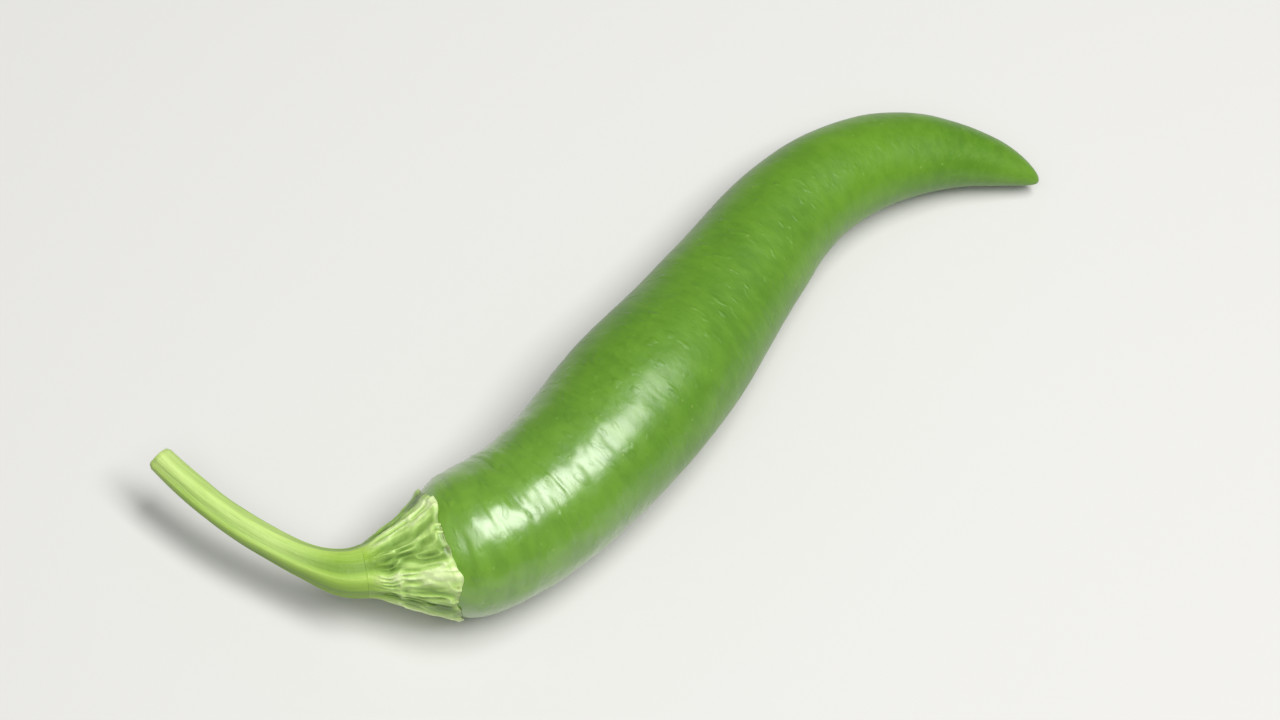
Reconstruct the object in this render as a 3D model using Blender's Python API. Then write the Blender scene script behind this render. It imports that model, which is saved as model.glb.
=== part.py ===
"""Green chilli pepper lying on its side: pod, calyx and stem along one bent centreline."""
import math

import bmesh
import bpy
from mathutils import Vector

for stale in list(bpy.data.objects):
    bpy.data.objects.remove(stale, do_unlink=True)

# Overall sizes, metres. Distances along the centreline start at the pod's shoulder pole.
POD_LENGTH = 0.1065
POD_DIAMETER = 0.0194
DOME_LENGTH = 0.0085
TIP_LENGTH = 0.007
CALYX_LENGTH = 0.009
CALYX_COVER = 0.0045
CALYX_WALL = 0.0005
TOOTH_LENGTH = 0.0006
RIB_HEIGHT = 0.00035
STEM_LENGTH = 0.0283
STEM_DIAMETER = 0.0036
STEM_FLARE = 1.72
STEM_RISE = 0.003
END_BEVEL = 0.0003

# Fits: clearance between touching pieces, and how deep the pod is flattened where it rests.
GAP = 0.0003
REST_DEPTH = 0.00025
SHOULDER_LIFT = 0.0006
TIP_LIFT = 0.001

RIBS = 5
RIB_TURN = -7.0
POD_SIDES = 40
STEM_SIDES = 30

# Heading in degrees from +X against the fraction of the pod length, and back along the stem.
POD_HEADING = [(0.0, -8), (0.047, 0), (0.103, 10), (0.178, 23), (0.263, 30), (0.366, 32),
               (0.47, 36), (0.568, 37), (0.657, 29), (0.732, 14.5), (0.803, -1), (0.861, -13),
               (0.92, -26), (1.0, -45)]
STEM_HEADING = [(0.0, -8), (0.136, -7), (0.25, -33), (0.4, -45), (0.6, -52), (0.8, -59),
                (1.0, -64)]
# Radius as a share of the largest radius, before the dome and the tip are rounded off.
POD_RADIUS = [(0.0, 0.88), (0.085, 0.925), (0.17, 0.935), (0.235, 0.962), (0.31, 0.995),
              (0.36, 1.0), (0.4, 0.978), (0.45, 0.925), (0.525, 0.845), (0.6, 0.785),
              (0.667, 0.73), (0.73, 0.685), (0.8, 0.615), (0.855, 0.53), (0.9, 0.43),
              (0.95, 0.305), (1.0, 0.19)]
STEM_RADIUS = [(0.0, STEM_FLARE), (0.1, 1.46), (0.22, 1.12), (0.35, 1.01), (0.55, 0.98),
               (0.8, 0.93), (1.0, 0.87)]

NECK_START = CALYX_COVER - CALYX_LENGTH
STEM_START = NECK_START - GAP
STEM_END = STEM_START - STEM_LENGTH
STEP = 0.00025


def law(knots):
    """Smooth function through (x, value) knots, constant beyond both ends."""
    xs = [knot[0] for knot in knots]
    ys = [knot[1] for knot in knots]
    last = len(xs) - 1
    slopes = []
    for i in range(len(xs)):
        low = max(i - 1, 0)
        high = min(i + 1, last)
        slopes.append((ys[high] - ys[low]) / (xs[high] - xs[low]))

    def value(x):
        x = min(max(x, xs[0]), xs[last])
        i = 0
        while i < last - 1 and x > xs[i + 1]:
            i += 1
        span = xs[i + 1] - xs[i]
        t = (x - xs[i]) / span
        start = ys[i] * (1 + 2 * t) + slopes[i] * span * t
        end = ys[i + 1] * (3 - 2 * t) - slopes[i + 1] * span * (1 - t)
        return start * (1 - t) ** 2 + end * t * t

    return value


pod_heading = law(POD_HEADING)
stem_heading = law(STEM_HEADING)
pod_share = law(POD_RADIUS)
stem_share = law(STEM_RADIUS)


def ease(t):
    t = min(max(t, 0.0), 1.0)
    return t * t * (3 - 2 * t)


def swell(s, angle):
    """Uneven cross-section of the pod: two and three slow lobes that turn along its length."""
    t = s / POD_LENGTH
    lobes = 0.016 * math.cos(2 * angle - 1.1 + 2.2 * t)
    lobes += 0.013 * math.cos(3 * angle + 0.6 - 3.4 * t)
    waves = 0.006 * math.sin(38 * t + 2 * math.cos(angle)) * math.sin(math.pi * min(t, 1.0))
    return 1 + lobes + waves


def full_radius(s):
    return 0.5 * POD_DIAMETER * pod_share(s / POD_LENGTH)


def pod_radius(s):
    """Radius with the shoulder dome and the tip rounded to nothing."""
    dome = 1 - min(max(s, 0.0) / DOME_LENGTH, 1.0)
    tip = min(max((s - POD_LENGTH + TIP_LENGTH) / TIP_LENGTH, 0.0), 1.0)
    rounding = (1 - dome ** 2) ** 0.55 * math.sqrt(1 - tip ** 2)
    return full_radius(s) * rounding


def heading(s):
    if s >= 0:
        return math.radians(pod_heading(s / POD_LENGTH))
    return math.radians(stem_heading(s / STEM_END))


def rest_height(s):
    """Centreline height that keeps the pod's underside on the floor, ends slightly lifted."""
    angles = [math.radians(180 + 3 * i) for i in range(61)]
    drop = max(-math.sin(a) * swell(s, a) for a in angles) * full_radius(s)
    lift = SHOULDER_LIFT * (1 - ease(s / (0.2 * POD_LENGTH)))
    lift += TIP_LIFT * ease((s / POD_LENGTH - 0.82) / 0.18)
    return drop + lift - REST_DEPTH


def height(s):
    if s >= 0:
        return rest_height(s)
    slope = (rest_height(STEP) - rest_height(0)) / STEP
    return rest_height(0) + slope * s + STEM_RISE * (s / STEM_END) ** 2


def trace(end):
    """Centreline points every STEP from the shoulder pole to an end."""
    count = int(math.ceil(abs(end) / STEP)) + 2
    step = math.copysign(STEP, end)
    x = 0.0
    y = 0.0
    points = [(x, y)]
    for i in range(count):
        middle = heading((i + 0.5) * step)
        x += math.cos(middle) * step
        y += math.sin(middle) * step
        points.append((x, y))
    return points


AHEAD = trace(POD_LENGTH)
BEHIND = trace(STEM_END)


def centre(s):
    points = AHEAD if s >= 0 else BEHIND
    place = abs(s) / STEP
    i = min(int(place), len(points) - 2)
    part = place - i
    x = points[i][0] * (1 - part) + points[i + 1][0] * part
    y = points[i][1] * (1 - part) + points[i + 1][1] * part
    return Vector((x, y, height(s)))


def place_point(s, radius, angle):
    """Point at a radius and an angle round the centreline, 0 = left side, 90 = top."""
    turn = heading(s)
    pitch = math.atan2(height(s + STEP) - height(s - STEP), 2 * STEP)
    left = Vector((-math.sin(turn), math.cos(turn), 0.0))
    flat = Vector((math.cos(turn), math.sin(turn), 0.0))
    up = Vector((0.0, 0.0, 1.0)) * math.cos(pitch) - flat * math.sin(pitch)
    return centre(s) + (left * math.cos(angle) + up * math.sin(angle)) * radius


def pod_point(s, angle):
    point = place_point(s, pod_radius(s) * swell(s, angle), angle)
    point.z = max(point.z, 0.0)
    return point


def ribbing(angle):
    """One at the crest of each rib, nothing between the ribs."""
    return (0.5 + 0.5 * math.cos(RIBS * (angle - math.radians(RIB_TURN)))) ** 2


def rim_at(angle):
    """Where the calyx ends: a small tooth on every rib."""
    return CALYX_COVER + TOOTH_LENGTH * (ribbing(angle) - 0.4)


def calyx_outer(v, angle):
    """Outer calyx surface, v from the neck (0) to the rim (1)."""
    s = NECK_START + v * (rim_at(angle) - NECK_START)
    neck = 0.5 * STEM_DIAMETER * STEM_FLARE
    shell = pod_radius(s) * swell(s, angle) + GAP + CALYX_WALL
    rim = pod_radius(rim_at(angle)) * swell(rim_at(angle), angle) + GAP + CALYX_WALL
    bell = neck + (rim - neck) * v ** 1.3
    radius = max(bell, shell) if s > 0 else bell
    rib = RIB_HEIGHT * ribbing(angle) * ease(2 * v) * (1.2 - v)
    return place_point(s, radius + rib, angle)


def calyx_inner(s, angle):
    """Pod surface moved out by the clearance, square to its profile."""
    step = 0.0001
    low = max(s - step, 0.0)
    rise = pod_radius(s + step) - pod_radius(low)
    run = s + step - low
    length = math.hypot(rise, run)
    radius = pod_radius(s) * swell(s, angle) + GAP * run / length
    return place_point(s - GAP * rise / length, radius, angle)


def stem_point(v, angle):
    """Stem surface, v from the calyx (0) to the cut end (1)."""
    ridge = 1 + 0.07 * (ribbing(angle) - 0.4) * ease(6 * (1 - v))
    radius = 0.5 * STEM_DIAMETER * stem_share(v) * ridge
    return place_point(STEM_START - v * STEM_LENGTH, radius, angle)


def around(sides):
    return [2 * math.pi * i / sides - 0.5 * math.pi for i in range(sides)]


def skin_material(name, colour, roughness):
    material = bpy.data.materials.new(name + "_skin")
    material.use_nodes = True
    shader = material.node_tree.nodes["Principled BSDF"]
    shader.inputs["Base Color"].default_value = (*colour, 1.0)
    shader.inputs["Roughness"].default_value = roughness
    shader.inputs["Metallic"].default_value = 0.0
    return material


def add_ring(bm, points):
    """Circle whose vertices are moved to the given points. Returns its edges."""
    circle = bmesh.ops.create_circle(bm, segments=len(points), radius=POD_DIAMETER)
    for vert, point in zip(circle["verts"], points):
        vert.co = point
    return list({edge for vert in circle["verts"] for edge in vert.link_edges})


def close_end(bm, ring, pole):
    """Fan of triangles from an end ring to its pole."""
    face = bmesh.ops.contextual_create(bm, geom=ring)["faces"]
    centre_vert = bmesh.ops.poke(bm, faces=face)["verts"][0]
    centre_vert.co = pole


def loft(name, rings, first_pole, last_pole, origin, material):
    """Closed body bridged from ring to ring, with a pole point closing each end."""
    bm = bmesh.new()
    loops = [add_ring(bm, ring) for ring in rings]
    close_end(bm, loops[0], first_pole)
    close_end(bm, loops[-1], last_pole)
    for near, far in zip(loops, loops[1:]):
        bmesh.ops.bridge_loops(bm, edges=near + far)
    bmesh.ops.translate(bm, verts=bm.verts, vec=-origin)
    bmesh.ops.recalc_face_normals(bm, faces=bm.faces)
    mesh = bpy.data.meshes.new(name)
    bm.to_mesh(mesh)
    bm.free()
    mesh.shade_smooth()
    mesh.set_sharp_from_angle(angle=math.radians(50))
    mesh.materials.append(material)
    obj = bpy.data.objects.new(name, mesh)
    obj.location = origin
    bpy.context.scene.collection.objects.link(obj)
    return obj


def pod_stations():
    stations = [DOME_LENGTH * (1 - math.cos(math.radians(90 * i / 10))) for i in range(1, 11)]
    body = POD_LENGTH - DOME_LENGTH - TIP_LENGTH
    count = round(body / 0.0026)
    stations += [DOME_LENGTH + body * i / count for i in range(1, count + 1)]
    start = POD_LENGTH - TIP_LENGTH
    stations += [start + TIP_LENGTH * math.sin(math.radians(90 * i / 7)) for i in range(1, 7)]
    return stations


def build_pod():
    rings = [[pod_point(s, a) for a in around(POD_SIDES)] for s in pod_stations()]
    material = skin_material("pod", (0.1, 0.23, 0.025), 0.25)
    return loft("pod", rings, centre(0.0), centre(POD_LENGTH), centre(0.0), material)


def build_calyx():
    angles = around(POD_SIDES)
    rings = [[calyx_outer(i / 11, a) for a in angles] for i in range(12)]
    for i in range(9):
        share = math.sin(math.radians(90 * (9 - i) / 9))
        depth = 1 - math.sqrt(max(1 - share ** 2, 0.0))
        rings.append([calyx_inner((rim_at(a) - 0.1 * TOOTH_LENGTH) * depth, a) for a in angles])
    neck = place_point(NECK_START, 0.0, 0.0)
    ceiling = place_point(-GAP, 0.0, 0.0)
    material = skin_material("calyx", (0.38, 0.56, 0.15), 0.6)
    return loft("calyx", rings, neck, ceiling, neck, material)


def build_stem():
    angles = around(STEM_SIDES)
    count = 20
    rings = [[stem_point(i / count, a) for a in angles] for i in range(count)]
    blunt = 1 - END_BEVEL / STEM_LENGTH
    rings.append([stem_point(blunt, a) for a in angles])
    cut = place_point(STEM_END, 0.0, 0.0)
    shrink = 1 - 2 * END_BEVEL / STEM_DIAMETER
    rings.append([cut + (stem_point(1.0, a) - cut) * shrink for a in angles])
    base = place_point(STEM_START, 0.0, 0.0)
    return loft("stem", rings, base, cut, base, skin_material("stem", (0.36, 0.53, 0.11), 0.55))


def settle(objects):
    """Move everything so the origin is the bottom centre of the overall box."""
    corners = [obj.location + v.co for obj in objects for v in obj.data.vertices]
    low = Vector([min(c[i] for c in corners) for i in range(3)])
    high = Vector([max(c[i] for c in corners) for i in range(3)])
    shift = Vector(((low.x + high.x) / 2, (low.y + high.y) / 2, low.z))
    for obj in objects:
        obj.location -= shift


settle([build_pod(), build_calyx(), build_stem()])
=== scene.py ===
import bpy
import itertools
import math
import numpy as np
from mathutils import Matrix, Vector


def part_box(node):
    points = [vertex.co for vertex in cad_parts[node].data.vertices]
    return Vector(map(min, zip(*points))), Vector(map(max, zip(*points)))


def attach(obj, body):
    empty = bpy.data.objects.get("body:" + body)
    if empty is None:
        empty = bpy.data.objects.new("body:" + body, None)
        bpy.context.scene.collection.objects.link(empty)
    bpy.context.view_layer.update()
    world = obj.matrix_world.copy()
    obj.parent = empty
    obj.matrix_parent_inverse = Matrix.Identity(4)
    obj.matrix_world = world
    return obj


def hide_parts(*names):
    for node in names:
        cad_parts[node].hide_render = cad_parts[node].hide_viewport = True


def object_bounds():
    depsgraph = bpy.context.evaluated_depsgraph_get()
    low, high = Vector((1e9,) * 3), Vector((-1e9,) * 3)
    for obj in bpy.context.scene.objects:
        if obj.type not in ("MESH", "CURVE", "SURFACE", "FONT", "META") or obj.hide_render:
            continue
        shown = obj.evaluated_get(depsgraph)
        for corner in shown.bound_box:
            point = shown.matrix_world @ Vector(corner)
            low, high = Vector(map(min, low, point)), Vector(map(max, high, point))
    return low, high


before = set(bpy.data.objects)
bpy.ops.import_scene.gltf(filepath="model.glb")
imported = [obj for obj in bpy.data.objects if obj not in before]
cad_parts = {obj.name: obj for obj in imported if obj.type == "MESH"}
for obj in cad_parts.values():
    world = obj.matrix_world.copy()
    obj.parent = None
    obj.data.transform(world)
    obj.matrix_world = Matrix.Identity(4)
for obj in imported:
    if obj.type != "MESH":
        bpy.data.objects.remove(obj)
cad_low, cad_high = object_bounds()

# ---------------------------------------------------------------- sizes, metres
# The same values as the solids. Distances along the centreline start at the pod's shoulder
# pole and grow towards the tip; the calyx's neck and the stem are at negative distances.
POD_LENGTH = 0.1065
POD_DIAMETER = 0.0194
DOME_LENGTH = 0.0085
TIP_LENGTH = 0.007
CALYX_LENGTH = 0.009
CALYX_COVER = 0.0045
TOOTH_LENGTH = 0.0006
STEM_LENGTH = 0.0283
STEM_DIAMETER = 0.0036
STEM_FLARE = 1.72
STEM_RISE = 0.003
GAP = 0.0003
REST_DEPTH = 0.00025
SHOULDER_LIFT = 0.0006
TIP_LIFT = 0.001
RIBS = 5
RIB_TURN = math.radians(-7.0)
NECK_START = CALYX_COVER - CALYX_LENGTH
NECK_RADIUS = 0.5 * STEM_DIAMETER * STEM_FLARE
STEM_START = NECK_START - GAP
STEM_END = STEM_START - STEM_LENGTH

# Heading in degrees from +X against the fraction of the pod length, and back along the stem.
POD_HEADING = [(0.0, -8), (0.047, 0), (0.103, 10), (0.178, 23), (0.263, 30), (0.366, 32),
               (0.47, 36), (0.568, 37), (0.657, 29), (0.732, 14.5), (0.803, -1), (0.861, -13),
               (0.92, -26), (1.0, -45)]
STEM_HEADING = [(0.0, -8), (0.136, -7), (0.25, -33), (0.4, -45), (0.6, -52), (0.8, -59),
                (1.0, -64)]
# Radius as a share of the largest radius, before the dome and the tip are rounded off.
POD_RADIUS = [(0.0, 0.88), (0.085, 0.925), (0.17, 0.935), (0.235, 0.962), (0.31, 0.995),
              (0.36, 1.0), (0.4, 0.978), (0.45, 0.925), (0.525, 0.845), (0.6, 0.785),
              (0.667, 0.73), (0.73, 0.685), (0.8, 0.615), (0.855, 0.53), (0.9, 0.43),
              (0.95, 0.305), (1.0, 0.19)]
STEM_RADIUS = [(0.0, STEM_FLARE), (0.1, 1.46), (0.22, 1.12), (0.35, 1.01), (0.55, 0.98),
               (0.8, 0.93), (1.0, 0.87)]
STEP = 0.00025


# ---------------------------------------------------------------- laws of the shape
def law(knots):
    """Smooth function of an array through (x, value) knots, constant beyond both ends."""
    xs, ys = np.array(knots, float).T
    low = np.maximum(np.arange(len(xs)) - 1, 0)
    high = np.minimum(np.arange(len(xs)) + 1, len(xs) - 1)
    slopes = (ys[high] - ys[low]) / (xs[high] - xs[low])

    def value(x):
        x = np.clip(x, xs[0], xs[-1])
        i = np.clip(np.searchsorted(xs, x, side="left") - 1, 0, len(xs) - 2)
        span = xs[i + 1] - xs[i]
        t = (x - xs[i]) / span
        start = ys[i] * (1 + 2 * t) + slopes[i] * span * t
        end = ys[i + 1] * (3 - 2 * t) - slopes[i + 1] * span * (1 - t)
        return start * (1 - t) ** 2 + end * t * t

    return value


pod_heading = law(POD_HEADING)
stem_heading = law(STEM_HEADING)
pod_share = law(POD_RADIUS)
stem_share = law(STEM_RADIUS)


def ease(t):
    t = np.clip(t, 0.0, 1.0)
    return t * t * (3 - 2 * t)


def swell(s, angle):
    """Uneven cross-section of the pod: two and three slow lobes that turn along its length."""
    t = s / POD_LENGTH
    lobes = 0.016 * np.cos(2 * angle - 1.1 + 2.2 * t) + 0.013 * np.cos(3 * angle + 0.6 - 3.4 * t)
    waves = 0.006 * np.sin(38 * t + 2 * np.cos(angle)) * np.sin(np.pi * np.minimum(t, 1.0))
    return 1 + lobes + waves


def full_radius(s):
    return 0.5 * POD_DIAMETER * pod_share(s / POD_LENGTH)


def pod_radius(s):
    """Radius with the shoulder dome and the tip rounded to nothing."""
    dome = 1 - np.clip(s / DOME_LENGTH, 0.0, 1.0)
    tip = np.clip((s - POD_LENGTH + TIP_LENGTH) / TIP_LENGTH, 0.0, 1.0)
    return full_radius(s) * (1 - dome ** 2) ** 0.55 * np.sqrt(1 - tip ** 2)


def heading(s):
    ahead = pod_heading(np.maximum(s, 0) / POD_LENGTH)
    behind = stem_heading(np.minimum(s, 0) / STEM_END)
    return np.radians(np.where(s >= 0, ahead, behind))


def rest_height(s):
    """Centreline height that keeps the pod's underside on the floor, ends slightly lifted."""
    under = np.radians(np.arange(180, 361, 3.0))
    drop = (-np.sin(under) * swell(s[:, None], under)).max(1) * full_radius(s)
    lift = SHOULDER_LIFT * (1 - ease(s / (0.2 * POD_LENGTH)))
    lift = lift + TIP_LIFT * ease((s / POD_LENGTH - 0.82) / 0.18)
    return drop + lift - REST_DEPTH


def trace():
    """Distances and points of the centreline, from past the stem's end to past the tip."""
    ahead = np.arange(0, POD_LENGTH + 2 * STEP, STEP)
    behind = np.arange(0, -STEM_END + 2 * STEP, STEP)
    ahead_turn = heading(ahead[:-1] + STEP / 2)
    behind_turn = heading(-behind[:-1] - STEP / 2)
    ahead_z = rest_height(ahead)
    slope = (ahead_z[1] - ahead_z[0]) / STEP
    behind_z = ahead_z[0] - slope * behind + STEM_RISE * (behind / STEM_END) ** 2
    flat = []
    for part in (np.cos, np.sin):
        back = -np.cumsum(part(behind_turn))[::-1] * STEP
        front = np.cumsum(part(ahead_turn)) * STEP
        flat.append(np.concatenate([back, [0], front]))
    distances = np.concatenate([-behind[:0:-1], ahead])
    heights = np.concatenate([behind_z[:0:-1], ahead_z])
    return distances, np.stack([*flat, heights], 1)


LINE_S, LINE = trace()


def centre(s):
    return np.stack([np.interp(s, LINE_S, LINE[:, i]) for i in range(3)], -1)


def place(s, radius, angle):
    """Points at a radius and an angle round the centreline: 0 = left side, 90 degrees = top."""
    s, radius, angle = np.broadcast_arrays(s, radius, angle)
    turn = heading(s)
    rise = (centre(s + STEP) - centre(s - STEP))[..., 2]
    pitch = np.arctan2(rise, 2 * STEP)
    zero = np.zeros_like(turn)
    left = np.stack([-np.sin(turn), np.cos(turn), zero], -1)
    up_x = -np.cos(turn) * np.sin(pitch)
    up_y = -np.sin(turn) * np.sin(pitch)
    up = np.stack([up_x, up_y, np.cos(pitch)], -1)
    spoke = left * np.cos(angle)[..., None] + up * np.sin(angle)[..., None]
    return centre(s) + spoke * radius[..., None]


def ribbing(angle, power=2.0):
    """One at the crest of each rib, nothing between the ribs."""
    return (0.5 + 0.5 * np.cos(RIBS * (angle - RIB_TURN))) ** power


def ridges(angle):
    """Five ribs that run from the stem over the calyx, with a weaker one between each pair."""
    between = (0.5 + 0.5 * np.cos(2 * RIBS * (angle - RIB_TURN) + 1.9)) ** 2
    return 0.75 * ribbing(angle, 1.7) + 0.3 * between


# ---------------------------------------------------------------- noise on the skins
NOISE_VALUES = 8192


def noise(points, seed):
    """Smooth value noise from -1 to 1 on a unit lattice, the same each run."""
    values = np.random.default_rng(seed).uniform(-1, 1, NOISE_VALUES)
    base = np.floor(points).astype(np.int64)
    part = points - base
    part = part ** 3 * (part * (part * 6 - 15) + 10)
    total = np.zeros(points.shape[:-1])
    for corner in itertools.product((0, 1), repeat=3):
        at = base + np.array(corner)
        key = at[..., 0] * 73856093 ^ at[..., 1] * 19349663 ^ at[..., 2] * 83492791
        weight = np.where(np.array(corner) == 1, part, 1 - part).prod(-1)
        total += weight * values[key & (NOISE_VALUES - 1)]
    return total


def skin_noise(s, angle, along, across, seed, radius=None):
    """Noise on a tube's skin, cells `along` metres long and `across` metres wide, no seam."""
    s, angle = np.broadcast_arrays(s, angle)
    r = full_radius(np.clip(s, 0, POD_LENGTH)) if radius is None else radius
    around = np.stack([np.cos(angle) * r / across, np.sin(angle) * r / across, s / along], -1)
    return noise(around + 50.0, seed)


def relief(s, angle, layers):
    """Sum of noise layers, each given as (height, cell along, cell across, seed)."""
    total = 0.0
    for height, along, across, seed in layers:
        total = total + height * skin_noise(s, angle, along, across, seed)
    return total


# ---------------------------------------------------------------- mesh helpers
MAP_MARGIN = 0.01
POLE_MARGIN = 0.004


def columns(count):
    """Angles round a tube, starting underneath, and the same as shares of a turn."""
    turn = np.arange(count) / count
    return 2 * np.pi * turn - 0.5 * np.pi, turn


def tube_faces(rows, cols):
    """Quads between rows that wrap round, and a fan of triangles to the pole at each end."""
    i, j = np.meshgrid(np.arange(rows - 1), np.arange(cols), indexing="ij")
    k = (j + 1) % cols
    near = 1 + i * cols
    far = near + cols
    quads = np.stack([near + j, near + k, far + k, far + j], -1).reshape(-1, 4)
    j = np.arange(cols)
    k = (j + 1) % cols
    end = 1 + (rows - 1) * cols
    first = np.stack([np.zeros(cols, int), 1 + k, 1 + j], -1)
    last = np.stack([end + j, end + k, np.full(cols, end + cols)], -1)
    return quads.tolist() + first.tolist() + last.tolist()


def add_map(mesh, rows, cols, along, around):
    """UV map with columns across and rows up, split underneath where the first column lies."""
    poles = (0, 1 + rows * cols)
    u_of = np.concatenate([[0.5], np.broadcast_to(around, (rows, cols)).ravel(), [0.5]])
    ends = ([along[0] - POLE_MARGIN], [along[-1] + POLE_MARGIN])
    v_of = np.concatenate([ends[0], np.repeat(along, cols), ends[1]])
    corner = np.zeros(len(mesh.loops), int)
    mesh.loops.foreach_get("vertex_index", corner)
    sizes = np.zeros(len(mesh.polygons), int)
    mesh.polygons.foreach_get("loop_total", sizes)
    face_of = np.repeat(np.arange(len(sizes)), sizes)
    inner = (corner > poles[0]) & (corner < poles[1])
    column = (corner - 1) % cols
    touches = []
    for edge in (0, cols - 1):
        found = np.zeros(len(sizes), bool)
        np.logical_or.at(found, face_of, inner & (column == edge))
        touches.append(found)
    wraps = (touches[0] & touches[1])[face_of] & (column == 0) & inner
    u = np.where(wraps, 1.0, u_of[corner])
    middle = np.zeros(len(sizes))
    np.add.at(middle, face_of, np.where(inner, u, 0.0))
    middle = middle / np.bincount(face_of, inner)
    u = np.where(inner, u, middle[face_of])
    uv = MAP_MARGIN + (1 - 2 * MAP_MARGIN) * np.stack([u, v_of[corner]], -1)
    layer = mesh.uv_layers.new(name="OFBake")
    layer.data.foreach_set("uv", uv.astype(np.float32).ravel())


def tube(name, points, first_pole, last_pole, along, around, attributes):
    """Closed mesh from rows x columns of points, wrapping round, with a pole at each end."""
    rows, cols = points.shape[:2]
    verts = np.concatenate([[first_pole], points.reshape(-1, 3), [last_pole]])
    mesh = bpy.data.meshes.new(name)
    mesh.from_pydata(verts.tolist(), [], tube_faces(rows, cols))
    mesh.polygons.foreach_set("use_smooth", [True] * len(mesh.polygons))
    add_map(mesh, rows, cols, along, around)
    for key, grid in attributes.items():
        grid = np.broadcast_to(grid, (rows, cols))
        values = np.concatenate([[grid[0].mean()], grid.ravel(), [grid[-1].mean()]])
        layer = mesh.attributes.new(key, "FLOAT", "POINT")
        layer.data.foreach_set("value", values.astype(np.float32))
    mesh.validate()
    mesh.update()
    obj = bpy.data.objects.new(name, mesh)
    bpy.context.scene.collection.objects.link(obj)
    return obj


# ---------------------------------------------------------------- pod
POD_COLUMNS = 216
DOME_ROWS = 20
DOME_ROWS_END = 0.0042
PUCKER_ROW_STEP = 0.00013
PUCKER_ROWS_END = 0.038
BODY_ROWS = 130
TIP_ROWS = 24
# Height, cell along, cell across, seed.
LUMPS = [(0.00012, 0.011, 0.008, 1), (0.00006, 0.0045, 0.0035, 2)]
LUMP_SINK = 0.00012
RIPPLES = [(0.00008, 0.0014, 0.0032, 3), (0.000028, 0.0008, 0.0016, 4)]
FOLDS = 260
FOLDS_START = 0.0056
FOLDS_SPREAD = 0.032
FOLD_REACH = (6, 17)
FOLD_WIDTH = (0.00024, 0.00046)
FOLD_DEPTH = (0.000014, 0.000046)
FOLD_TILT = 0.0008
FOLD_WANDER = 0.0006
GROOVE_SCALE = 0.00006


def pod_rows():
    """Distances of the pod's rows: close at both ends, closest where the skin puckers."""
    tip_start = POD_LENGTH - TIP_LENGTH
    dome = DOME_ROWS_END * (1 - np.cos(np.linspace(0, 0.5 * np.pi, DOME_ROWS)[1:-1]))
    puckered = np.arange(DOME_ROWS_END, PUCKER_ROWS_END, PUCKER_ROW_STEP)
    body = np.linspace(PUCKER_ROWS_END, tip_start, BODY_ROWS)
    tip = tip_start + TIP_LENGTH * np.sin(np.linspace(0, 0.5 * np.pi, TIP_ROWS)[1:-1])
    return np.concatenate([dome, puckered, body, tip])


def folds(s, angle):
    """Depth of shallow dents across the shoulder, each over part of the girth."""
    rng = np.random.default_rng(7)
    depth = np.zeros(np.broadcast_shapes(s.shape, angle.shape))
    wander = relief(s, angle, [(FOLD_WANDER, 0.006, 0.003, 21)])
    for _ in range(FOLDS):
        at = FOLDS_START + FOLDS_SPREAD * rng.random() ** 1.3
        middle = rng.uniform(0, 2 * np.pi)
        reach = np.radians(rng.uniform(*FOLD_REACH))
        width = rng.uniform(*FOLD_WIDTH)
        tilt = rng.normal(0, FOLD_TILT)
        deep = rng.uniform(*FOLD_DEPTH) * (1 - 0.6 * ease((at - 0.012) / 0.028))
        side = (angle - middle + np.pi) % (2 * np.pi) - np.pi
        across = (s - at - tilt * side + wander) / width
        depth += deep * np.exp(-across ** 2) * np.exp(-(side / reach) ** 2)
    return depth


def pod_shift(points):
    """Move that centres the pod's skin on its solid, so that every piece sits in the frame."""
    low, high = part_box("pod")
    shift = np.zeros(3)
    middle = (np.array(low) + np.array(high)) / 2
    shift[:2] = middle[:2] - ((points.min((0, 1)) + points.max((0, 1))) / 2)[:2]
    return shift


def pod_skin():
    """Points of the pod's skin, its row distances, and how deep each point is in a crease."""
    angles, _ = columns(POD_COLUMNS)
    rows = pod_rows()
    s, angle = rows[:, None], angles[None, :]
    grooves = folds(s, angle)
    body = ease((s - 0.003) / 0.006) * (1 - ease((s - 0.098) / 0.008))
    puckered = ease((s - 0.0042) / 0.0018) * (1 - ease((s - 0.09) / 0.01))
    puckered = puckered * (1 - 0.85 * ease((s - 0.018) / 0.02))
    lumps = (relief(s, angle, LUMPS) - LUMP_SINK) * body
    ripple = relief(s, angle, RIPPLES) * puckered
    radius = pod_radius(s) * swell(s, angle) + lumps + ripple - grooves
    points = place(s, radius, angle)
    points[..., 2] = np.maximum(points[..., 2], 0.0)
    return points, rows, (grooves - ripple) / GROOVE_SCALE


pod_points, pod_s, pod_groove = pod_skin()
SHIFT = pod_shift(pod_points)


def seat(points):
    """Row-frame position of points made round the centreline."""
    return points + SHIFT


def pole(s):
    """Seated point on the centreline."""
    return seat(centre(np.array(s)))


def build_pod():
    _, turns = columns(POD_COLUMNS)
    share = pod_s / POD_LENGTH
    attributes = {"along": share[:, None], "groove": pod_groove}
    return tube("pod_body", seat(pod_points), pole(0.0), pole(POD_LENGTH), share, turns, attributes)


# ---------------------------------------------------------------- calyx
CALYX_COLUMNS = 320
CALYX_ROWS = 130
LINING_ROWS = 26
EDGE = 0.00038
HUG = 0.00003
LEAST_COVER = 0.00007
NECK_REACH = 0.00027
RIM_UNEVEN = 0.0003
RIB_LIFT = 0.00065
FOLD_LIFT = 0.00023
FINE_LIFT = 0.00011
# Radii that only set how wide the noise cells lie on the calyx, its rim and the stem.
CALYX_GIRTH = 0.0062
RIM_GIRTH = 0.0075
STALK_GIRTH = 0.0018
PROFILE_STEP = 0.0001


def stalk_lines(s, angle):
    """Fine lines along the stem, which run on over the calyx's neck."""
    return skin_noise(s, angle, 0.009, 0.00045, 41, STALK_GIRTH)


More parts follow.
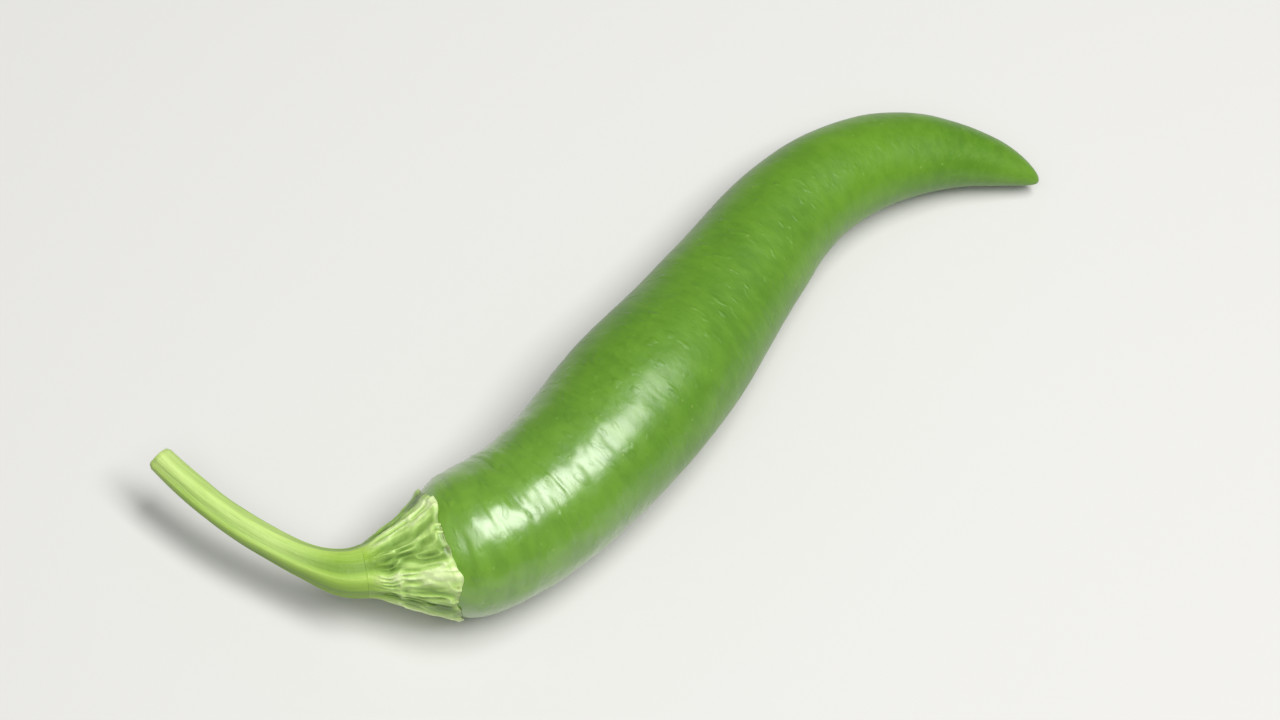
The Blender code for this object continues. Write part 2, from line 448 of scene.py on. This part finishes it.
def calyx_rim(angle):
    """Where the calyx ends: a small tooth on every rib, and an uneven torn edge."""
    rim = CALYX_COVER + TOOTH_LENGTH * (ribbing(angle) - 0.4)
    return rim + RIM_UNEVEN * skin_noise(np.zeros((1, 1)), angle, 0.01, 0.0013, 31, RIM_GIRTH)


def calyx_outside(v, angle, rim):
    """Outer skin from the neck (v = 0) to the rim (1), with the height of its ridges."""
    s = NECK_START - NECK_REACH * (1 - v) + v * (rim - NECK_START)
    pod_here = pod_radius(np.maximum(s, 0)) * swell(s, angle)
    rim_radius = pod_radius(rim) * swell(rim, angle)
    bell = NECK_RADIUS + (rim_radius + EDGE - NECK_RADIUS) * v ** 1.3
    radius = np.maximum(bell, np.where(s > 0, pod_here + EDGE, 0))
    crown = ease(v / 0.3)
    wander = angle + 0.12 * crown * skin_noise(s, angle, 0.003, 0.002, 34, CALYX_GIRTH)
    rib = ridges(wander)
    fold = 1 - 2 * np.abs(skin_noise(s, wander, 0.0024, 0.0007, 32, CALYX_GIRTH)) ** 0.8
    fine = skin_noise(s, angle, 0.0009, 0.00045, 33, CALYX_GIRTH)
    height = RIB_LIFT * (rib - 0.35) * (0.41 + 0.59 * ease(2 * v)) * (1.2 - 0.7 * v)
    height = height + (FOLD_LIFT * fold + FINE_LIFT * fine) * crown
    radius = radius + height - 0.75 * EDGE * ease((v - 0.93) / 0.07)
    radius = np.maximum(radius, np.where(s > 0.001, pod_here + LEAST_COVER, 0))
    lines = stalk_lines(s, angle)
    ridge = crown * (0.45 * rib + 0.4 * (0.5 + 0.5 * fold) + 0.15 * (0.5 + 0.5 * fine))
    ridge = ridge + (1 - crown) * (0.6 * rib + 0.4 * (0.5 + 0.5 * lines))
    return place(s, radius, angle), ridge


def calyx_inside(depth, angle, rim):
    """Inner skin that hugs the pod from the rim (depth = 1) to its shoulder pole (0)."""
    s = rim * depth ** 1.2
    rise = pod_radius(s + PROFILE_STEP) - pod_radius(np.maximum(s - PROFILE_STEP, 0))
    slant = np.hypot(rise, 2 * PROFILE_STEP)
    radius = pod_radius(s) * swell(s, angle) + 2 * HUG * PROFILE_STEP / slant
    return place(s - HUG * rise / slant, np.maximum(radius, 0.00002), angle)


def build_calyx():
    angles, turns = columns(CALYX_COLUMNS)
    angle = angles[None, :]
    rim = calyx_rim(angle)
    v = np.linspace(0, 1, CALYX_ROWS)[:, None]
    depth = np.linspace(1, 0, LINING_ROWS)[1:, None]
    outside, ridge = calyx_outside(v, angle, rim)
    points = np.concatenate([outside, calyx_inside(depth, angle, rim)])
    along = np.concatenate([0.8 * v[:, 0], 0.8 + 0.2 * (1 - depth[:, 0])])
    hidden = np.ones((len(depth), CALYX_COLUMNS))
    toward_rim = np.concatenate([np.broadcast_to(v, ridge.shape), hidden])
    attributes = {"ridge": np.concatenate([ridge, 0.2 * hidden]), "toward_rim": toward_rim}
    poles = (pole(NECK_START - GAP), pole(-HUG))
    return tube("calyx_cap", seat(points), *poles, along, turns, attributes)


# ---------------------------------------------------------------- stem
STEM_COLUMNS = 132
STEM_ROWS = 200
STEM_TWIST = 0.5
RIDGE_LIFT = 0.00032
LINE_LIFT = 0.000035
KNOT_LIFT = 0.00006
END_ROUNDING = 0.0002
POLE_REACH = 0.00028
POLE_SINK = 0.00013
# The cut end: rings as shares of the stem's radius, and how far each is sunk into the stem.
CUT_SHARE = np.array([0.97, 0.92, 0.85, 0.74, 0.6, 0.42, 0.22])[:, None]
CUT_SINK = np.array([-0.00006, -0.00004, 0.00004, 0.00012, 0.00015, 0.0001, 0.00013])[:, None]


def build_stem():
    angles, turns = columns(STEM_COLUMNS)
    angle = angles[None, :]
    v = np.linspace(-0.01, 1, STEM_ROWS)[:, None]
    s = STEM_START - v * STEM_LENGTH
    twisted = angle - STEM_TWIST * v
    rib = ridges(twisted)
    lines = stalk_lines(s, twisted)
    knots = skin_noise(s, angle, 0.004, 0.002, 42, STALK_GIRTH)
    radius = 0.5 * STEM_DIAMETER * stem_share(v)
    radius = radius + RIDGE_LIFT * (rib - 0.35) * (0.4 + 0.6 * ease(1 - v))
    radius = radius + LINE_LIFT * lines + KNOT_LIFT * knots
    radius = radius - END_ROUNDING * ease((v - 0.985) / 0.015)
    cut_points = place(STEM_END + CUT_SINK, radius[-1:] * CUT_SHARE, angle)
    points = np.concatenate([place(s, radius, angle), cut_points])[::-1]
    skin_along = 0.9 * np.clip(v[:, 0], 0, 1)
    cut_along = 0.9 + 0.1 * (1 - CUT_SHARE[:, 0])
    along = np.concatenate([skin_along, cut_along])[::-1]
    skin = np.zeros((len(v), STEM_COLUMNS))
    face = np.broadcast_to(1.2 - CUT_SHARE, (len(CUT_SHARE), STEM_COLUMNS))
    plain_face = np.full(face.shape, 0.5)
    ridge = 0.6 * rib + 0.4 * (0.5 + 0.5 * lines)
    # Mask of the stem's top side, for painted light on top and painted shade underneath.
    sunny = 0.5 + 0.5 * np.cos(angle - math.radians(75)) + skin
    attributes = {"ridge": np.concatenate([ridge, plain_face])[::-1],
                  "sunny": np.concatenate([sunny, plain_face])[::-1],
                  "cut": np.concatenate([skin, face])[::-1], "reach": along[:, None]}
    poles = (pole(STEM_END + POLE_SINK), pole(STEM_START + POLE_REACH))
    return tube("stem_stalk", seat(points), *poles, along, turns, attributes)


pod = build_pod()
calyx = build_calyx()
stem = build_stem()
for piece, node, slot in ((pod, "pod", "pod_skin"), (calyx, "calyx", "calyx_skin"),
                          (stem, "stem", "stem_skin")):
    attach(piece, "root")
    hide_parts(node)


# ---------------------------------------------------------------- materials
def solid(colour):
    return (*colour, 1.0)


class Nodes:
    """Small helper that adds and links shader nodes of one material."""

    def __init__(self, name):
        self.material = bpy.data.materials.new(name)
        self.material.use_nodes = True
        self.tree = self.material.node_tree
        self.shader = self.tree.nodes["Principled BSDF"]

    def feed(self, socket, value):
        if isinstance(value, bpy.types.NodeSocket):
            self.tree.links.new(value, socket)
        else:
            socket.default_value = value

    def skin(self, **inputs):
        """Set or link the shader's own inputs, named with _ for a space."""
        for key, value in inputs.items():
            self.feed(self.shader.inputs[key.replace("_", " ")], value)

    def add(self, kind, inputs=(), **settings):
        node = self.tree.nodes.new("ShaderNode" + kind)
        for key, value in settings.items():
            setattr(node, key, value)
        for key, value in dict(inputs).items():
            self.feed(node.inputs[key], value)
        return node

    def attribute(self, name):
        return self.add("Attribute", attribute_name=name).outputs["Fac"]

    def place(self):
        return self.add("TexCoord").outputs["Object"]

    def flat(self):
        return self.add("UVMap", uv_map="OFBake").outputs["UV"]

    def noise(self, vector, scale, detail=2.0, rough=0.5):
        inputs = {"Vector": vector, "Scale": scale, "Detail": detail, "Roughness": rough}
        return self.add("TexNoise", inputs).outputs["Fac"]

    def streaks(self, around, along, detail=3.0, rough=0.6):
        """Noise on the map with this many cells around and along the piece."""
        cells = {"Vector": self.flat(), "Scale": (around, along, 1.0)}
        return self.noise(self.add("Mapping", cells).outputs["Vector"], 1.0, detail, rough)

    def times(self, a, b):
        return self.add("Math", {0: a, 1: b}, operation="MULTIPLY").outputs[0]

    def plus(self, a, b):
        return self.add("Math", {0: a, 1: b}, operation="ADD").outputs[0]

    def ramp(self, value, stops):
        node = self.add("ValToRGB", {"Fac": value})
        band = node.color_ramp
        band.interpolation = "EASE"
        while len(band.elements) < len(stops):
            band.elements.new(0.5)
        for element, (at, colour) in zip(band.elements, stops):
            element.position = at
            element.color = solid(colour)
        return node.outputs["Color"]

    def tint(self, share, base, colour):
        """The base colour with a share of another one mixed in."""
        node = self.add("Mix", {"Factor": share}, data_type="RGBA", clamp_factor=True)
        self.feed(node.inputs[6], base)
        self.feed(node.inputs[7], colour)
        return node.outputs[2]

    def range(self, value, low, high, to_low=0.0, to_high=1.0):
        inputs = {"Value": value, "From Min": low, "From Max": high,
                  "To Min": to_low, "To Max": to_high}
        return self.add("MapRange", inputs).outputs["Result"]

    def bump(self, height, distance, below=None):
        node = self.add("Bump", {"Height": height, "Distance": distance, "Strength": 1.0})
        if below is not None:
            self.feed(node.inputs["Normal"], below)
        return node.outputs["Normal"]


# Colour along the pod, from the shoulder (0) to the tip (1).
POD_STOPS = [(0.03, (0.165, 0.345, 0.030)), (0.12, (0.128, 0.285, 0.024)),
             (0.32, (0.090, 0.222, 0.014)), (0.6, (0.093, 0.228, 0.013)),
             (0.78, (0.098, 0.244, 0.009)), (0.9, (0.082, 0.218, 0.007)),
             (1.0, (0.115, 0.260, 0.016))]
POD_CLOUD = solid((0.140, 0.300, 0.020))
POD_SHADE = solid((0.066, 0.175, 0.012))
# Painted light on the crests and painted shade in the hollows of the fine crease streaks.
POD_CREST_LIGHT = solid((0.150, 0.315, 0.026))
POD_HOLLOW_SHADE = solid((0.060, 0.160, 0.010))
# Painted shade in the grooves across the shoulder.
POD_GROOVE_SHADE = solid((0.062, 0.168, 0.012))
# Pale dots: partly the skin's own specks, partly painted glints.
POD_DOT_AND_GLINT = solid((0.360, 0.520, 0.120))
# Colours of the calyx and the stem against the height of their ridges, with painted shade in the
# hollows and painted light on the crests.
CALYX_SHADE_TO_LIGHT = [(0.2, (0.075, 0.155, 0.020)), (0.38, (0.215, 0.370, 0.066)),
               (0.56, (0.470, 0.680, 0.190)), (0.8, (0.740, 0.880, 0.440))]
CALYX_CLOUD = solid((0.260, 0.430, 0.090))
CALYX_RIM = solid((0.500, 0.600, 0.270))
CALYX_DRY = solid((0.220, 0.180, 0.060))
# Stem colours against ridge height: painted shade between the ridges, painted light on their
# crests.
STALK_SHADE_TO_LIGHT = [(0.1, (0.165, 0.300, 0.026)), (0.5, (0.275, 0.450, 0.052)),
               (0.95, (0.450, 0.640, 0.130))]
# Painted light on the stem's top side and painted shade on its underside.
STEM_TOP_LIGHT = solid((0.600, 0.780, 0.250))
STEM_UNDER_SHADE = solid((0.130, 0.235, 0.020))
STEM_FIBRE = solid((0.250, 0.420, 0.060))
STEM_DRYING = solid((0.560, 0.680, 0.260))
CUT_STOPS = [(0.2, (0.430, 0.480, 0.180)), (0.35, (0.330, 0.430, 0.130)),
             (0.5, (0.560, 0.620, 0.320)), (0.85, (0.720, 0.740, 0.500))]


def pod_material():
    """Waxy green skin: cloudy, finely creased across with painted light on the creases' crests and
    painted shade in their hollows and grooves, pale dots that are partly painted glints, glossiest
    on the shoulder.
    """
    n = Nodes("pod_waxy_skin")
    where = n.place()
    along = n.attribute("along")
    base = n.ramp(along, POD_STOPS)
    cloud = n.noise(where, 95.0, 3.0, 0.55)
    base = n.tint(n.range(cloud, 0.36, 0.68, 0.0, 0.45), base, POD_CLOUD)
    shade = n.noise(where, 230.0)
    base = n.tint(n.range(shade, 0.42, 0.7, 0.0, 0.35), base, POD_SHADE)
    crease = n.streaks(17.0, 78.0)
    # Painted light on the crests and painted shade in the hollows of the crease noise, which also
    # bumps the skin.
    base = n.tint(n.range(crease, 0.45, 0.72, 0.0, 0.34), base, POD_CREST_LIGHT)
    base = n.tint(n.range(crease, 0.47, 0.3, 0.0, 0.22), base, POD_HOLLOW_SHADE)
    # Painted shade in the shoulder's grooves, darker the deeper the crease.
    groove = n.attribute("groove")
    base = n.tint(n.range(groove, 0.2, 1.4, 0.0, 0.24), base, POD_GROOVE_SHADE)
    # Pale dots, partly the skin's own specks and partly painted glints.
    cells = {"Vector": where, "Scale": 620.0, "Randomness": 1.0}
    distance = n.add("TexVoronoi", cells, feature="F1").outputs["Distance"]
    chosen = n.noise(where, 400.0, 1.0)
    dot_and_glint = n.times(n.range(distance, 0.13, 0.05), n.range(chosen, 0.52, 0.6))
    base = n.tint(n.times(dot_and_glint, 0.25), base, POD_DOT_AND_GLINT)
    worn = n.noise(where, 300.0, 3.0, 0.6)
    dull = n.range(along, 0.2, 0.34, 0.0, 0.08)
    peel = n.bump(n.noise(where, 900.0), 0.00006)
    dashes = n.streaks(26.0, 95.0, 1.0, 0.5)
    raised = n.times(n.range(dashes, 0.6, 0.78), n.range(along, 0.75, 0.6, 0.2, 1.0))
    glints = n.bump(raised, 0.00009, peel)
    n.skin(Base_Color=base, Roughness=n.plus(n.range(worn, 0.3, 0.75, 0.32, 0.4), dull),
           Normal=n.bump(crease, 0.00006, glints), IOR=1.47,
           Specular_Tint=solid((0.93, 1.0, 0.88)),
           Coat_Weight=n.range(along, 0.21, 0.32, 1.0, 0.25), Coat_Roughness=0.27)
    return n.material


def calyx_material():
    """Pale crinkled skin with painted shade in the hollows and painted light on the crests, a dry
    rim, and the stem's colours with their painted light and shade at the neck.
    """
    n = Nodes("calyx_crinkled_skin")
    where = n.place()
    ridge = n.attribute("ridge")
    rim_near = n.attribute("toward_rim")
    # Painted shade in the calyx's hollows and painted light on its crests.
    base = n.ramp(ridge, CALYX_SHADE_TO_LIGHT)
    cloud = n.noise(where, 700.0, 3.0, 0.6)
    base = n.tint(n.range(cloud, 0.4, 0.7, 0.0, 0.4), base, CALYX_CLOUD)
    base = n.tint(n.range(rim_near, 0.93, 1.0, 0.0, 0.45), base, CALYX_RIM)
    spot = n.noise(where, 1500.0)
    dry = n.times(n.range(spot, 0.6, 0.7), n.range(rim_near, 0.85, 1.0))
    base = n.tint(n.times(dry, 0.6), base, CALYX_DRY)
    # At the neck, the stem's ramp with its painted light and shade.
    base = n.tint(n.range(rim_near, 0.32, 0.02), base, n.ramp(ridge, STALK_SHADE_TO_LIGHT))
    grain = n.bump(n.noise(where, 1800.0, 3.0, 0.6), 0.00008)
    n.skin(Base_Color=base, Roughness=n.range(cloud, 0.3, 0.7, 0.30, 0.5), Normal=grain)
    return n.material


def stem_material():
    """Ridged green stalk with painted light on top and on its ridges, painted shade below and
    between the ridges, fibrous, with a pale dry cut face.
    """
    n = Nodes("stem_ridged_skin")
    cut = n.attribute("cut")
    reach = n.attribute("reach")
    sunny = n.attribute("sunny")
    # Painted shade between the stem's ridges and painted light on their crests.
    base = n.ramp(n.attribute("ridge"), STALK_SHADE_TO_LIGHT)
    # Painted light on the stem's top side, then painted shade on its underside.
    pale = n.times(n.range(sunny, 0.55, 0.95), n.range(reach, 0.1, 0.35))
    base = n.tint(n.times(pale, 0.62), base, STEM_TOP_LIGHT)
    base = n.tint(n.range(sunny, 0.6, 0.15, 0.0, 0.55), base, STEM_UNDER_SHADE)
    fibre = n.streaks(60.0, 7.0)
    base = n.tint(n.range(fibre, 0.4, 0.7, 0.0, 0.35), base, STEM_FIBRE)
    base = n.tint(n.range(reach, 0.72, 0.9, 0.0, 0.3), base, STEM_DRYING)
    base = n.tint(n.range(cut, 0.1, 0.22), base, n.ramp(cut, CUT_STOPS))
    grain = n.bump(n.noise(n.place(), 1600.0, 3.0, 0.6), 0.00006)
    n.skin(Base_Color=base, Roughness=n.range(fibre, 0.3, 0.7, 0.4, 0.56),
           Normal=n.bump(fibre, 0.0001, grain))
    return n.material


pod.data.materials.append(pod_material())
calyx.data.materials.append(calyx_material())
stem.data.materials.append(stem_material())

# ---------------------------------------------------------------- floor and light
FLOOR_REACH = 3.0
corners = [(-1, -1), (1, -1), (1, 1), (-1, 1)]
floor_mesh = bpy.data.meshes.new("floor")
floor_mesh.from_pydata([(x * FLOOR_REACH, y * FLOOR_REACH, 0) for x, y in corners], [],
                       [(0, 1, 2, 3)])
floor = bpy.data.objects.new("floor", floor_mesh)
bpy.context.scene.collection.objects.link(floor)
paper = Nodes("pale_paper")
paper.skin(Base_Color=solid((0.62, 0.615, 0.6)), Roughness=0.8)
floor.data.materials.append(paper.material)

world = bpy.data.worlds.new("room")
world.use_nodes = True
background = world.node_tree.nodes["Background"]
background.inputs["Color"].default_value = solid((0.93, 0.96, 1.0))
background.inputs["Strength"].default_value = 0.16
bpy.context.scene.world = world
bpy.context.scene.view_settings.view_transform = "Standard"

WARM = (1.0, 0.995, 0.98)
COOL = (0.96, 0.98, 1.0)


def softbox(name, direction, distance, size, power, colour, turn=0.0):
    """Area light that faces the middle of the floor, turned round its own axis by `turn`."""
    light = bpy.data.lights.new(name, "AREA")
    light.shape = "RECTANGLE"
    light.size, light.size_y = size
    light.energy = power
    light.color = colour
    obj = bpy.data.objects.new(name, light)
    away = Vector(direction).normalized()
    level = Vector((0, 1, 0)).cross(away).normalized()
    across = Matrix.Rotation(turn, 3, away) @ level
    axes = Matrix((across, away.cross(across), away)).transposed()
    obj.matrix_world = Matrix.Translation(away * distance) @ axes.to_4x4()
    bpy.context.scene.collection.objects.link(obj)


softbox("key", (0.26, -0.12, 0.93), 0.75, (0.19, 0.5), 5.1, WARM, math.radians(22.0))
softbox("second", (-0.15, -0.3, 0.93), 0.75, (0.5, 0.42), 2.5, WARM)
softbox("left", (-0.75, 0.1, 0.8), 1.1, (0.7, 0.9), 0.7, COOL)

# ---------------------------------------------------------------- camera
VIEW_AZIMUTH = math.radians(-32.1)
VIEW_ELEVATION = math.radians(63.25)
VIEW_DISTANCE = 0.408
VIEW_ROLL = math.radians(-12.4)
camera_data = bpy.data.cameras.new("camera")
camera_data.lens = 95.0
camera_data.clip_start = 0.01
camera_data.clip_end = 20.0
camera = bpy.data.objects.new("camera", camera_data)
bpy.context.scene.collection.objects.link(camera)
target = (cad_low + cad_high) / 2
flat_back = Vector((math.sin(VIEW_AZIMUTH), -math.cos(VIEW_AZIMUTH), 0.0))
back = flat_back * math.cos(VIEW_ELEVATION) + Vector((0, 0, math.sin(VIEW_ELEVATION)))
camera.rotation_mode = "QUATERNION"
level_view = (-back).to_track_quat("-Z", "Y").to_matrix()
rolled_view = level_view @ Matrix.Rotation(-VIEW_ROLL, 3, "Z")
camera.rotation_quaternion = rolled_view.to_quaternion()
camera.location = target + back * VIEW_DISTANCE
bpy.context.scene.camera = camera

bpy.context.view_layer.update()
